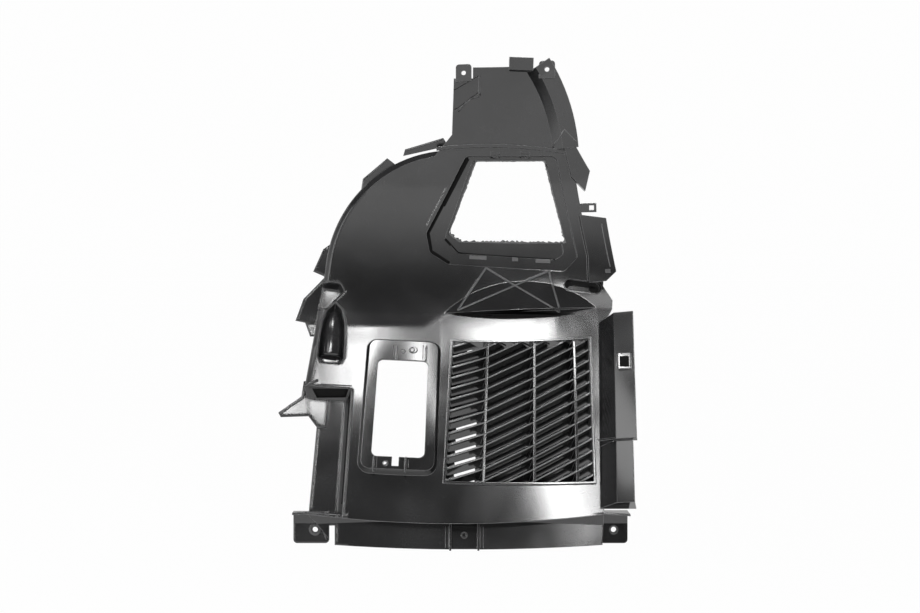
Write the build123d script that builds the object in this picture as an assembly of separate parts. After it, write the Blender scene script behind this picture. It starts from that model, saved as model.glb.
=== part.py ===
from build123d import *
import os
from math import asin, atan2, cos, degrees, radians, sin, sqrt

# Sizes in mm, angles in degrees. X is to the right, Y is away from the wheel, Z is up.
# The origin lies midway between the two end fixing holes, on the front of their tabs.

# moulding and arch
wall_t = 2.5
lean = 32
plan_r = 900
arch_r = 400
wall_run = 312
arch_sweep = 60
below_foot = 30
half_angle = 19
deep_x = -25
foot_y = 8
foot_z = 10
draw_start = -160
draw_run = 520
bite = 0.5

# lengths of the cutting and trimming blocks
through = 60
hole_cut = 20
tool = 400

# outline of the shell
foot_left = (-202, 21)
foot_mid = (0, 6)
foot_right = (178, 22)
valley_top = (198, 255)
right_side = [(214, 283), (216, 296), (204, 318), (180, 423), (170, 488), (155, 531)]
tongue_foot = (140, 536)
tongue_mid = (124, 592)
tongue_top_x = 98
tongue_top_z = 648
tongue_left_x = -15
tongue_corner = (14, 633)
tongue_root = (-18, 552)
shoulder = (-37, 529)
flank_mid = (-152, 475)
hip = (-208, 354)
hook_top = (-222, 178)
hook_foot = (-214, 137)
hook_drop = 15
panel_left_x = -202
roll_w = 9
front_turn = -0.3
side_turn = 0.05
return_depth = 28

# upper window
window_outer = [(2, 522), (-60, 400), (-54, 368), (-24, 349), (152, 337), (174, 360), (144, 520)]
window_inner = [(12, 517), (-32, 392), (-10, 366), (138, 355), (155, 364), (130, 514)]
window_opening = [(19, 513), (-23, 400), (-5, 387), (155, 384), (125, 512)]
window_step = 7
window_floor = 11
window_corner = 13

# awning above the grille with its crossed ribs
awning_x = 80
awning_r = 960
awning_proud = 13
brow_draft = 20
awning_rise = 52
awning_room = 40
awning_l = 300
brow_s = 314
brow_tilt = 1.5
rib_w = 2.2
rib_proud = 1.3
cross_top = [(34, 346), (128, 341)]
cross_foot = [(-9, 282), (140, 279)]

# louvre grille
grille_x = 77
grille_s = 155
grille_w = 195
grille_h = 213
grille_turn = -2.5
rim_w = 3
rim_proud = 2.5
slat_pitch = 17
slat_t = 2.2
slat_depth = 21
slat_depth_left = 16
slat_back = 0.4
slat_drop = 0.28
slat_rise_left = 0.37
slat_rise = 0.52
slat_over = 4
slat_start = -30
slat_run = 95
bar_u = [-47, 20.5, 77]
bar_w = 3.6
bar_depth = 20
rim_depth = 23
bar_yaw = 0.36

# rectangular window in a raised frame
frame_x = -88
frame_s = 164
frame_w = 108
frame_h = 206
frame_turn = -1
frame_corner = 17
frame_proud = 8
frame_draft = 32
opening_w = 71
opening_h = 147
opening_drop = 7
opening_corner = 8
frame_rib_w = 2
frame_rib_proud = 1.2
top_ribs_u = [-10, 32]
low_ribs_u = [-31, 11]
frame_boss_r = 5
frame_boss_at = (14, 83.5)
frame_hole_r = 2.5
frame_hole_at = (-17, -89.5)
notch_u = -3
notch_w = 9
notch_h = 13

# left side
panel_right_x = -157
panel_top = 185
panel_depth = 13
panel_slope = (-0.55, -1.1)
panel_block_w = 120
panel_block_h = 300
tray_room = 15
bullet_x = -189
bullet_s = 276
bullet_half = [(0, 48), (10, 37), (16, 15), (18, -18), (18, -43), (13, -52)]
bullet_depth = 12
bullet_draft = 18
scoop_at = (-196, 335)
scoop = [(-232, 358), (-184, 357), (-177, 345), (-200, 313), (-232, 313)]
scoop_depth = 12
scoop_corner = 5
hook = [
    (-225, 182), (-226, 162), (-254, 142), (-250, 136),
    (-214, 136), (-202, 122), (-190, 122), (-190, 182),
]
side_tabs = [
    [(-95, 524), (-92, 534), (-32, 552), (-24, 540)],
    [(-161, 466), (-158, 487), (-120, 520), (-104, 508)],
    [(-194, 392), (-216, 375), (-229, 340), (-206, 330)],
    [(-206, 338), (-240, 298), (-248, 266), (-234, 263), (-225, 243), (-212, 243)],
]

# lower flange
hole_pitch = 384
hole_r = 3.5
flange_y = 12
flange_left = (-168, -20)
flange_mid = (0, -29)
flange_right = (176, -17)
end_tab_w = 46
left_tab_shift = -5
slot_w = 7
slot_top = 5
slot_h = 34
end_tab_low = -15
right_tab_w = 36
centre_tab_w = 34
centre_tab_low = -30
centre_tab_back = 5
centre_dimple_r = 2.6
tab_corner = 5

# turned-up edges of the right flange and the tongue
lip_root = 4
lip_t = 3
lip_fall = 2

# right flange
valley_foot = (202, 8)
valley_head = (222, 282)
flange_wall = 20
flange_rise = 26
strip_w = 27
step_back = 4
step_narrow = 5
step_s = 84
pad_s = 196
pad_w = 17
pad_l = 24

# tongue edge and ears
lip_angles = [36.5, 46.5, 54]
lip_wall = 10
lip_rise = 14
lip_w = 24
ear = [(174, 425), (212, 419), (222, 338), (207, 324), (183, 322), (184, 362)]
ear_mouth = (176, 317)
ear_mouth_w = 52
ear_mouth_h = 17
ear_mouth_depth = 16
ear_mouth_turn = 8
ear_proud = 15
upper_ear = [(152, 532), (170, 530), (191, 492), (184, 462), (164, 484)]
upper_ear_proud = 8
gusset = [(152, 558), (137, 534), (174, 534)]
gusset_proud = 5
bracket_at = (188, 437)
bracket_w = 26
bracket_h = 14
bracket_hole_x = 6
bracket_hole_w = 7

# top of the tongue
pocket = [(-30, 612), (25, 641), (25, 611), (-8, 588), (-30, 580)]
pocket_depth = 4
top_hole_x = 62
top_hole_y = 194
top_hole_z = 641
top_hole_pitch = 126
top_hole_r = 3.5
top_tab_turn = 9
top_tab_w = 24
top_tab_h = 26
lug = [(68, 642), (68, 659), (104, 657), (104, 640)]
lug_proud = 9
ridge_low = [(-42, 528), (55, 532), (160, 519)]
ridge_h = 5
ridge_proud = 3
ridge_groove = 0.8


def skin(front, back):
    """Layer of the curved wall between two depths behind its visible face, before it leans back."""
    top = radians(arch_sweep)
    mid = top / 2

    def at(offset, angle):
        reach = arch_r + offset
        return (plan_r - arch_r + reach * cos(angle), wall_run + reach * sin(angle))

    section = make_face(
        Line((plan_r + front, -below_foot), at(front, 0))
        + ThreePointArc(at(front, 0), at(front, mid), at(front, top))
        + Line(at(front, top), at(back, top))
        + ThreePointArc(at(back, top), at(back, mid), at(back, 0))
        + Line(at(back, 0), (plan_r + back, -below_foot))
        + Line((plan_r + back, -below_foot), (plan_r + front, -below_foot))
    )
    start = Rot(0, 0, -half_angle) * (Plane.YZ * section)
    return revolve(start, axis=Axis.Z, revolution_arc=2 * half_angle)


def lay(shape):
    """Lean a shape from the upright wall frame into the part's frame."""
    return Pos(deep_x, foot_y, foot_z) * Rot(-lean, 0, 0) * Pos(0, -plan_r, 0) * shape


def layer(front, back):
    return lay(skin(front, back))


def prism(face):
    """Carry an outline drawn in X and Z straight along the draw direction."""
    view = Plane(origin=(0, draw_start, 0), x_dir=(1, 0, 0), z_dir=(0, -1, 0))
    return extrude(view * face, amount=-draw_run)


def rounded(points, radius):
    face = make_face(Polyline(*points, close=True))
    return fillet(face.vertices(), radius) if radius else face


def wall_plane(x, s):
    """Plane on the visible face of the straight wall at part X and height s up the wall."""
    turn = asin((x - deep_x) / plan_r)
    return Plane(
        origin=(plan_r * sin(turn), plan_r * cos(turn), s),
        x_dir=(cos(turn), -sin(turn), 0),
        z_dir=(-sin(turn), -cos(turn), 0),
    )


def outline_face(inset):
    """Front outline of the shell. The inset moves only the rolled left side inwards."""
    def left(point):
        return (point[0] + inset, point[1] - inset / 2)

    top_right = (tongue_top_x, tongue_top_z)
    notch = (tongue_corner[0], tongue_top_z)
    tongue_left = (tongue_left_x, tongue_corner[1])
    flank = ThreePointArc(left(shoulder), left(flank_mid), left(hip))
    return make_face(
        ThreePointArc(foot_left, foot_mid, foot_right)
        + Line(foot_right, valley_top)
        + Polyline(valley_top, *right_side, tongue_foot)
        + ThreePointArc(tongue_foot, tongue_mid, top_right)
        + Polyline(top_right, notch, tongue_corner, tongue_left, tongue_root, left(shoulder))
        + flank
        + TangentArc(left(hip), left(hook_top), tangent=flank % 1)
        + Polyline(left(hook_top), hook_foot, (panel_left_x, hook_foot[1] - hook_drop), foot_left)
    )


def turned_over(block, width):
    """Slope the front of the left side, where the face turns over into the return wall."""
    def faces(is_wanted):
        return [f for f in block.faces() if is_wanted(f.normal_at(f.center()).Y)]

    fronts = faces(lambda turned: turned < front_turn)
    walls = faces(lambda turned: abs(turned) < side_turn)
    sides = [f for f in walls if f.center().X < shoulder[0] and f.center().Z > hook_top[1]]
    on_front = [e for f in fronts for e in f.edges()]
    shared = [e for f in sides for e in f.edges() if any(e.is_same(other) for other in on_front)]
    return chamfer(shared, width)


def base_shell():
    outer = layer(0, return_depth) & prism(outline_face(0))
    inner = layer(wall_t, return_depth + hole_cut) & prism(outline_face(wall_t))
    inner_w = roll_w - wall_t * (2 - sqrt(2))
    return turned_over(outer, roll_w) - turned_over(inner, inner_w)


def sink(shell, points, start, depth):
    """Press a region of the shell back along the draw direction."""
    region = rounded(points, window_corner)
    outer = prism(region)
    inner = prism(offset(region, -wall_t))
    pressed = layer(start, depth + wall_t) & outer
    return shell - outer + pressed - (layer(start - 2 * wall_t, depth) & inner)


def boss(shell, points, proud):
    """Push a small region of the shell towards the wheel as a hollow pad."""
    region = rounded(points, 0)
    inner = layer(wall_t - proud, wall_t + 2 * bite) & prism(offset(region, -wall_t))
    return shell + (layer(-proud, wall_t) & prism(region)) - inner


def upper_window(shell):
    shell = sink(shell, window_outer, 0, window_step)
    shell = sink(shell, window_inner, window_step, window_floor)
    return shell - prism(rounded(window_opening, window_corner / 2))


def awning_bar(radius):
    """Round bar whose front is the awning's face."""
    fall = awning_proud - awning_rise ** 2 / (2 * arch_r)
    tilt = degrees(atan2(fall, awning_rise))
    bar = Pos(0, 0, -awning_r) * Rot(-90, 0, 0) * Cylinder(radius, awning_l)
    return wall_plane(awning_x, brow_s).location * Pos(0, 0, awning_proud) * Rot(-tilt, 0, 0) * bar


def above_brow(gap):
    block = Rot(brow_draft, 0, -brow_tilt) * Pos(0, tool / 2 + gap, 0) * Box(tool, tool, tool)
    return wall_plane(awning_x, brow_s).location * block


def strip(start, end, width):
    """Straight flat strip between two points of the front view."""
    run = Vector(*end) - Vector(*start)
    middle = (Vector(*start) + Vector(*end)) / 2
    turn = degrees(atan2(run.Y, run.X))
    return Pos(middle.X, middle.Y) * Rot(0, 0, turn) * Rectangle(run.length, width)


def awning(shell):
    front = -awning_room
    face = skin(front, wall_t - bite) & above_brow(0) & awning_bar(awning_r)
    hollow = skin(front, 3 * wall_t) & above_brow(wall_t) & awning_bar(awning_r - wall_t)
    lines = [
        (cross_top[0], cross_foot[1]),
        (cross_top[1], cross_foot[0]),
        (cross_top[0], cross_foot[0]),
        (cross_top[1], cross_foot[1]),
    ]
    proud = skin(front, 0) & above_brow(0) & awning_bar(awning_r + rib_proud)
    ground = lay(proud - awning_bar(awning_r - 2 * bite)) + layer(-rib_proud, 2 * bite)
    shell = shell + lay(face) - lay(hollow)
    for start, end in lines:
        shell += prism(strip(start, end, rib_w)) & ground
    return shell


def grille_local(shape):
    """Place a shape drawn at the grille's own centre on the upright wall."""
    return wall_plane(grille_x, grille_s).location * Rot(0, 0, grille_turn) * shape


def grille_block(outline):
    return grille_local(extrude(outline, amount=through, both=True))


def slat(low):
    """One louvre blade. It bends at the first bar and drops as it goes back."""
    left = -grille_w / 2 - slat_over
    right = grille_w / 2 + slat_over
    bend = bar_u[0] + bar_w / 4
    ends = [
        (left, low + slat_rise_left * (left - bend)),
        (bend, low),
        (right, low + slat_rise * (right - bend)),
    ]
    upper = [(u, v + slat_t) for u, v in reversed(ends)]
    face = Pos(0, slat_start * slat_drop, slat_start) * make_face(Polyline(*ends, *upper, close=True))
    return extrude(face, amount=slat_run, dir=(0, slat_drop, 1))


def bow(u):
    """How far the concave face stands in front of the grille's middle plane."""
    return plan_r - sqrt(plan_r ** 2 - u ** 2)


def slat_room():
    """Space that the blades fill. Its front runs straight from bar to bar along the concave face."""
    edge = grille_w / 2 + 2 * bite
    stations = [-edge, *bar_u, edge]
    front = [(u, bow(u) - slat_back) for u in stations]
    back = [(u, bow(u) - slat_depth) for u in reversed(stations[1:])]
    step = [(u, bow(u) - slat_depth_left) for u in reversed(stations[:2])]
    plan = make_face(Polyline(*front, *back, *step, close=True))
    return extrude(Plane.XZ * plan, amount=grille_h / 2 + 2 * bite, both=True)


def bar(u):
    """Upright bar that leans to the left as it goes back."""
    face = Pos(u - bar_yaw * bar_depth, 0, bow(u) - bar_depth) * Rectangle(bar_w, grille_h + 4 * bite)
    return extrude(face, amount=bar_depth * Vector(bar_yaw, 0, 1).length, dir=(bar_yaw, 0, 1))


def grille(shell):
    opening = grille_block(Rectangle(grille_w, grille_h))
    outside = grille_block(Rectangle(grille_w + 2 * rim_w, grille_h + 2 * rim_w))
    rim = (skin(-rim_proud, rim_depth) & outside) - opening
    lowest = (slat_pitch - grille_h) / 2 - slat_rise * (grille_w / 2 - bar_u[0])
    highest = grille_h / 2 + slat_rise_left * (grille_w / 2 + bar_u[0])
    count = int((highest - lowest) / slat_pitch) + 1
    blades = [lay(grille_local(slat(lowest + slat_pitch * i) & slat_room())) for i in range(count)]
    bars = [lay(grille_local(bar(u))) for u in bar_u]
    return shell - lay(opening) + [lay(rim), *blades, *bars]


def framed_window(shell):
    def local(shape):
        return lay(wall_plane(frame_x, frame_s).location * Rot(0, 0, frame_turn) * shape)

    edge = RectangleRounded(frame_w, frame_h, frame_corner)
    core = RectangleRounded(frame_w - 2 * wall_t, frame_h - 2 * wall_t, frame_corner - wall_t)
    outer = extrude(edge, amount=frame_proud, taper=frame_draft)
    hollow = extrude(core, amount=frame_proud - wall_t, taper=frame_draft)
    hollow += extrude(core, amount=-5 * wall_t)
    shell = shell + local(outer) - local(hollow)
    top = opening_h / 2 - opening_drop
    low = -opening_h / 2 - opening_drop
    band = (frame_h - opening_h) / 2 - opening_drop
    for u, v in [(u, top) for u in top_ribs_u] + [(u, low - band) for u in low_ribs_u]:
        rib = Pos(u, v + band / 2, frame_proud) * Box(frame_rib_w, band, 2 * frame_rib_proud)
        shell += local(rib)
    shell += local(Pos(*frame_boss_at, frame_proud) * Cylinder(frame_boss_r, 2 * frame_rib_proud))
    opening = RectangleRounded(opening_w, opening_h, opening_corner)
    opening = extrude(opening, amount=through / 2, both=True)
    notch = Pos(notch_u, low, 0) * Box(notch_w, 2 * notch_h, through)
    hole = Pos(*frame_hole_at, 0) * Cylinder(frame_hole_r, through)
    return shell - local(Pos(0, -opening_drop, 0) * opening) - local(notch) - local(hole)


def tray(shell, place, outline, depth, draft):
    """Drafted pocket pressed back from the wall."""
    outer = extrude(offset(outline, wall_t), amount=-(depth + wall_t), taper=draft)
    inner = extrude(outline, amount=-depth, taper=draft) + extrude(outline, amount=tray_room)
    room = lay(place * inner)
    body = layer(0, depth + tray_room) & prism(outline_face(0)) & lay(place * outer)
    return shell - room + (body - room)


def left_panel(shell):
    """Panel pressed back at the lower left. Its top and right walls slope as they go back."""
    slope_x, slope_s = panel_slope
    run = Vector(slope_x, slope_s, 1).length

    def block(grow, depth):
        corner = Pos(grow - panel_block_w / 2, grow - panel_block_h / 2)
        face = corner * Rectangle(panel_block_w, panel_block_h)
        back = Pos(slope_x * depth, slope_s * depth, -depth) * face
        sloped = extrude(back, amount=depth * run, dir=(-slope_x, -slope_s, 1))
        return sloped + extrude(face, amount=tray_room)

    place = wall_plane(panel_right_x, panel_top).location
    room = lay(place * block(0, panel_depth))
    around = lay(place * block(wall_t, panel_depth + wall_t))
    body = layer(0, panel_depth + tray_room) & prism(outline_face(0)) & around
    return shell - room + (body - room)


def left_side(shell):
    shell = left_panel(shell)
    bullet = rounded(bullet_half + [(-u, v) for u, v in reversed(bullet_half[1:])], 0)
    shell = tray(shell, wall_plane(bullet_x, bullet_s).location, bullet, bullet_depth, bullet_draft)
    drawn = rounded([(x - scoop_at[0], s - scoop_at[1]) for x, s in scoop], scoop_corner)
    shell = tray(shell, wall_plane(*scoop_at).location, drawn, scoop_depth, bullet_draft)
    shell += layer(panel_depth, panel_depth + wall_t) & prism(rounded(hook, 0))
    for tab in side_tabs:
        shell += layer(return_depth - wall_t, return_depth) & prism(rounded(tab, 0))
    return shell


def lower_flange(shell):
    """Strip below the wall, set back behind a ledge, with the fixing tabs at its ends and middle."""
    def raised(point, by):
        return (point[0], point[1] + by)

    foot = ThreePointArc(foot_left, foot_mid, foot_right)
    over_left, over_right = raised(foot_left, wall_t), raised(foot_right, wall_t)
    over = ThreePointArc(over_left, raised(foot_mid, wall_t), over_right)
    ledge = make_face(foot + over + Line(foot_left, over_left) + Line(foot_right, over_right))
    band = make_face(
        over
        + Line(over_left, flange_left)
        + ThreePointArc(flange_left, flange_mid, flange_right)
        + Line(flange_right, over_right)
    )
    axis = Pos(deep_x, flange_y - plan_r, 0)
    drum = axis * Cylinder(plan_r + wall_t, tool / 2)
    behind = layer(0, through)
    shell += (prism(ledge) & behind & drum) + (prism(band) & (drum - axis * Cylinder(plan_r, tool / 2)))
    tabs = [
        (-hole_pitch / 2, left_tab_shift, end_tab_w, foot_left[1]),
        (hole_pitch / 2, 0, right_tab_w, foot_right[1]),
    ]
    for hole_x, shift, width, top in tabs:
        x = hole_x + shift
        height = top - end_tab_low
        plate = Pos(x, wall_t / 2, end_tab_low + height / 2) * Box(width, wall_t, height + 2 * wall_t)
        plate = fillet(plate.edges().filter_by(Axis.Y).group_by(Axis.Z)[0], tab_corner)
        cover = Pos(x, 0, top + wall_t / 2) * Box(width, 2 * wall_t + through, wall_t)
        shell += plate + (cover & behind & Pos(0, wall_t - tool / 2, 0) * Box(2 * tool, tool, tool))
        shell -= Pos(hole_x, 0, 0) * Rot(90, 0, 0) * Cylinder(hole_r, hole_cut)
    slot_x = (left_tab_shift - hole_pitch / 2) + (end_tab_w + slot_w) / 2
    shell -= Pos(slot_x, 0, slot_top - slot_h / 2) * Box(slot_w, through, slot_h)
    return centre_tab(shell)


def centre_tab(shell):
    """Middle fixing tab, pressed back from the strip, with a blind dimple."""
    height = foot_mid[1] + wall_t / 2 - centre_tab_low
    middle_z = centre_tab_low + height / 2
    front_y = flange_y + centre_tab_back
    shell -= Pos(0, flange_y, middle_z - wall_t) * Box(centre_tab_w, hole_cut, height)
    plate = Pos(0, front_y + wall_t / 2, middle_z) * Box(centre_tab_w + 2 * wall_t, wall_t, height)
    middle_y = flange_y + centre_tab_back / 2
    depth = centre_tab_back + 2 * wall_t
    for side in (-1, 1):
        x = side * (centre_tab_w + wall_t) / 2
        plate += Pos(x, middle_y, middle_z) * Box(wall_t, depth, height)
    roof = Box(centre_tab_w + 2 * wall_t, depth, wall_t)
    roof = Pos(0, middle_y, foot_mid[1] + wall_t / 2 + bite) * roof
    dimple = Pos(0, front_y, middle_z) * Rot(90, 0, 0) * Cylinder(centre_dimple_r, wall_t)
    return shell + plate + roof - dimple


def wall_point(x, s):
    return Vector(x, sqrt(plan_r ** 2 - x ** 2), s)


def lip_profile(wall, rise, width):
    """Section of a wall that comes towards the wheel and ends in a flat strip."""
    front = [(-lip_root, 2 * bite), (wall, -rise), (wall + width, -rise - lip_fall)]
    back = [(x, y + lip_t) for x, y in reversed(front)]
    return make_face(Polyline(*front, *back, close=True))


def right_flange(shell):
    """Drafted wall and stepped strip that come towards the wheel along the outer edge."""
    foot, head = wall_point(*valley_foot), wall_point(*valley_head)
    along = head - foot
    turn = asin(valley_foot[0] / plan_r)
    place = Plane(origin=foot, x_dir=(cos(turn), -sin(turn), 0), z_dir=along).location

    def cap(rise, width, low):
        outer = flange_wall + width
        points = [(-lip_root, low), (flange_wall, -rise), (outer, -rise - lip_fall), (outer, low)]
        return make_face(Polyline(*points, close=True))

    low_rise, low_w = flange_rise - step_back, strip_w - step_narrow
    low_part = lip_profile(flange_wall, low_rise, low_w)
    high_part = lip_profile(flange_wall, flange_rise, strip_w)
    flange = extrude(low_part, amount=step_s)
    flange += Pos(0, 0, step_s) * extrude(high_part, amount=along.length - step_s)
    flange += extrude(cap(low_rise, low_w, wall_t), amount=wall_t)
    flange += Pos(0, 0, step_s) * extrude(cap(flange_rise, strip_w, -low_rise + wall_t), amount=wall_t)
    pad_x = flange_wall + strip_w / 2
    flange += Pos(pad_x, -flange_rise - lip_fall / 2, pad_s) * Box(pad_w, 2 * wall_t, pad_l)
    return shell + lay(place * flange)


def arch_point(x, angle):
    """Point on the visible face of the arch, by X in the wall frame and angle up the arch."""
    turn = radians(angle)
    reach = plan_r - arch_r + arch_r * cos(turn)
    return Vector(x, sqrt(reach ** 2 - x ** 2), wall_run + arch_r * sin(turn))


def tongue_lip(shell):
    """Wall and strip that turn towards the wheel along the tongue's outer edge."""
    edge_x = [tongue_foot[0], tongue_mid[0], tongue_top_x]
    points = [arch_point(x - deep_x, angle) for x, angle in zip(edge_x, lip_angles)]
    path = ThreePointArc(*points)
    start = Plane(origin=points[0], x_dir=(1, 0, 0), z_dir=path % 0)
    return shell + lay(sweep(start * lip_profile(lip_wall, lip_rise, lip_w), path))


def ears(shell):
    """Hollow ear open at its foot, the upper ear, the gusset and the small bracket."""
    def mouth(outline):
        return prism(Pos(*ear_mouth) * Rot(0, 0, -ear_mouth_turn) * outline)

    cup = Rectangle(ear_mouth_w + 2 * wall_t, ear_mouth_h + 2 * wall_t)
    shell += layer(bite, ear_mouth_depth + wall_t) & mouth(cup)
    shell -= layer(-2 * wall_t, ear_mouth_depth) & mouth(SlotOverall(ear_mouth_w, ear_mouth_h))
    region = rounded(ear, 0)
    room = layer(wall_t - ear_proud, wall_t + 2 * bite) & prism(offset(region, -wall_t))
    shell = shell + (layer(-ear_proud, wall_t - bite) & prism(region)) - room
    region = rounded(upper_ear, 0)
    side = prism(region - offset(region, -wall_t))
    shell += layer(-upper_ear_proud, wall_t - upper_ear_proud) & prism(region)
    shell += layer(-upper_ear_proud, wall_t - bite) & side
    shell += layer(-gusset_proud, wall_t - bite) & prism(rounded(gusset, 0))
    hole = Pos(bracket_hole_x, 0) * Rectangle(bracket_hole_w, bracket_hole_w)
    bracket = Pos(*bracket_at) * (Rectangle(bracket_w, bracket_h) - hole)
    return shell + (layer(bite / 2, wall_t - bite / 2) & prism(bracket))


def tongue_top(shell):
    """Shallow pocket, hollow lug and the two fixing tabs at the top of the tongue."""
    region = rounded(pocket, 0)
    shell = shell - prism(region) + (layer(0, pocket_depth + wall_t) & prism(region & outline_face(0)))
    shell -= layer(-2 * wall_t, pocket_depth) & prism(offset(region, -wall_t))
    shell = boss(shell, lug, lug_proud)
    upper = [(x, z + ridge_h) for x, z in reversed(ridge_low)]
    ends = Line(ridge_low[-1], upper[0]) + Line(upper[-1], ridge_low[0])
    ridge = make_face(ThreePointArc(*ridge_low) + ThreePointArc(*upper) + ends)
    shell += layer(-ridge_proud, wall_t / 2) & prism(ridge)
    shell -= layer(wall_t - ridge_groove, 2 * wall_t) & prism(ridge)
    place = Pos(top_hole_x, top_hole_y, top_hole_z) * Rot(0, 0, -top_tab_turn)
    for side in (-1, 1):
        tab = Box(top_tab_w, wall_t, top_tab_h)
        tab = fillet(tab.edges().filter_by(Axis.Y).group_by(Axis.Z)[-1], tab_corner)
        at = place * Pos(side * top_hole_pitch / 2, 0, 0)
        shell += at * Pos(0, wall_t / 2, 0) * tab
        shell -= at * Rot(90, 0, 0) * Cylinder(top_hole_r, hole_cut)
    return shell


def liner():
    shell = base_shell()
    for feature in (upper_window, awning, grille, framed_window, left_side, lower_flange, right_flange,
                    tongue_lip, ears, tongue_top):
        shell = feature(shell)
    return shell


os.makedirs("parts", exist_ok=True)
export_step(liner(), "parts/wheel_arch_liner.step")
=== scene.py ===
import math
import random
import bmesh
import bpy
from mathutils import Matrix, Quaternion, Vector
from mathutils.bvhtree import BVHTree


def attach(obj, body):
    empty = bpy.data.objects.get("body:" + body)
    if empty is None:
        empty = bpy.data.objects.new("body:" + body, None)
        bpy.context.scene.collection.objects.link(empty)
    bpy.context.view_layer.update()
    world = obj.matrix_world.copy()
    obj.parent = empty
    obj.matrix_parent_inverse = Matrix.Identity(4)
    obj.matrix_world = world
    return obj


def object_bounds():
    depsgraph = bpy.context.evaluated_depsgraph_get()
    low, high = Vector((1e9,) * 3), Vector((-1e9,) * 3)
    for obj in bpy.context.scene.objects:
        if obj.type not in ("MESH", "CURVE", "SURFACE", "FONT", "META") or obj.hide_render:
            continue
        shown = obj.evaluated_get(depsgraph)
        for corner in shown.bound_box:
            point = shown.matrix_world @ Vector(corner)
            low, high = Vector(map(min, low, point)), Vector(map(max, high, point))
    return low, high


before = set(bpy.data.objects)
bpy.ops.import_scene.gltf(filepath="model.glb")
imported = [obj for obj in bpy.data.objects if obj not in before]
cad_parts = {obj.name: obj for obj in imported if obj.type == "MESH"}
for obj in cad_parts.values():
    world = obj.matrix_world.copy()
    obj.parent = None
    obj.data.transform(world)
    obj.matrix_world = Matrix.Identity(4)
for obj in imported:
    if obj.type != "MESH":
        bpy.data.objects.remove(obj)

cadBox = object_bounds()
scene = bpy.context.scene
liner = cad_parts["wheel_arch_liner"]
mm = 0.001
print("frame loaded", [round(v, 3) for corner in cadBox for v in corner])


# Node helpers.
def addNode(tree, kind, at, **values):
    node = tree.nodes.new(kind)
    node.location = at
    for key, value in values.items():
        setattr(node, key, value)
    return node


def setInputs(node, **values):
    for key, value in values.items():
        node.inputs[key.replace("_", " ")].default_value = value


def newGroup(name, inputs, outputs):
    tree = bpy.data.node_groups.new(name, "ShaderNodeTree")
    for label, kind, value in inputs:
        socket = tree.interface.new_socket(label, in_out="INPUT", socket_type=kind)
        socket.default_value = value
    for label, kind in outputs:
        tree.interface.new_socket(label, in_out="OUTPUT", socket_type=kind)
    start = addNode(tree, "NodeGroupInput", (-1300, 0))
    end = addNode(tree, "NodeGroupOutput", (1300, 0))
    return tree, start, end


def mathNode(tree, operation, at, first, second):  # two values, each a socket or a number
    node = addNode(tree, "ShaderNodeMath", at, operation=operation)
    for slot, value in enumerate((first, second)):
        if isinstance(value, (int, float)):
            node.inputs[slot].default_value = value
        else:
            tree.links.new(value, node.inputs[slot])
    return node.outputs[0]


def ramp(tree, at, value, low, high):  # 0 at low and 1 at high, held beyond them
    node = addNode(tree, "ShaderNodeMapRange", at)
    setInputs(node, From_Min=low, From_Max=high)
    tree.links.new(value, node.inputs["Value"])
    return node.outputs[0]


def noise(tree, at, vector, **values):
    node = addNode(tree, "ShaderNodeTexNoise", at)
    setInputs(node, **values)
    tree.links.new(vector, node.inputs["Vector"])
    return node.outputs[0]


# Effects on the moulded plastic.
mottleLook = {  # each range is where a mask starts and where it is full
    "cloudScale": 11.0,
    "cloud": {"Detail": 1.5, "Roughness": 0.5, "Distortion": 0.7},
    "cloudRange": (0.36, 0.68),
    "dust": {"Scale": 38.0, "Detail": 4.0, "Roughness": 0.7},
    "dustRange": (0.42, 0.70),
    "grain": {"Scale": 640.0, "Detail": 2.0, "Roughness": 0.7},
    "grainRange": (0.52, 0.75),
}


def mottleGroup():  # cloudy changes in sheen and fine dust, as on a moulding that has been handled
    look = mottleLook
    tree, start, end = newGroup(
        "mouldMottle",
        [("Scale", "NodeSocketFloat", look["cloudScale"])],
        [("Cloud", "NodeSocketFloat"), ("Dust", "NodeSocketFloat"), ("Grain", "NodeSocketFloat")],
    )
    place = addNode(tree, "ShaderNodeTexCoord", (-1100, -200)).outputs["Object"]
    cloud = noise(tree, (-700, 200), place, **look["cloud"])
    wide = noise(tree, (-700, -100), place, **look["dust"])
    fine = noise(tree, (-700, -400), place, **look["grain"])
    patches = ramp(tree, (-300, -100), wide, *look["dustRange"])
    specks = ramp(tree, (-300, -400), fine, *look["grainRange"])
    link = tree.links.new
    link(start.outputs["Scale"], cloud.node.inputs["Scale"])
    link(ramp(tree, (-300, 200), cloud, *look["cloudRange"]), end.inputs["Cloud"])
    link(mathNode(tree, "MULTIPLY", (0, -200), patches, specks), end.inputs["Dust"])
    link(fine, end.inputs["Grain"])
    return tree


edgeLook = {  # lengths in m, tilts as the Z that is added to a normal
    "radius": 0.0012,
    "rolledRadius": 0.006,
    "rolledFrom": -0.150,
    "archTilt": -0.14,
    "archFoot": 0.250,
    "archStep": 0.024,
    "archStepSpan": (-0.060, -0.020),
    "archBlend": 0.012,
    "flangeLean": 0.62,
    "flangeTop": 0.008,
    "edgeRange": (0.985, 0.78),
    "samples": 14,
    "maskSamples": 6,
}


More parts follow.
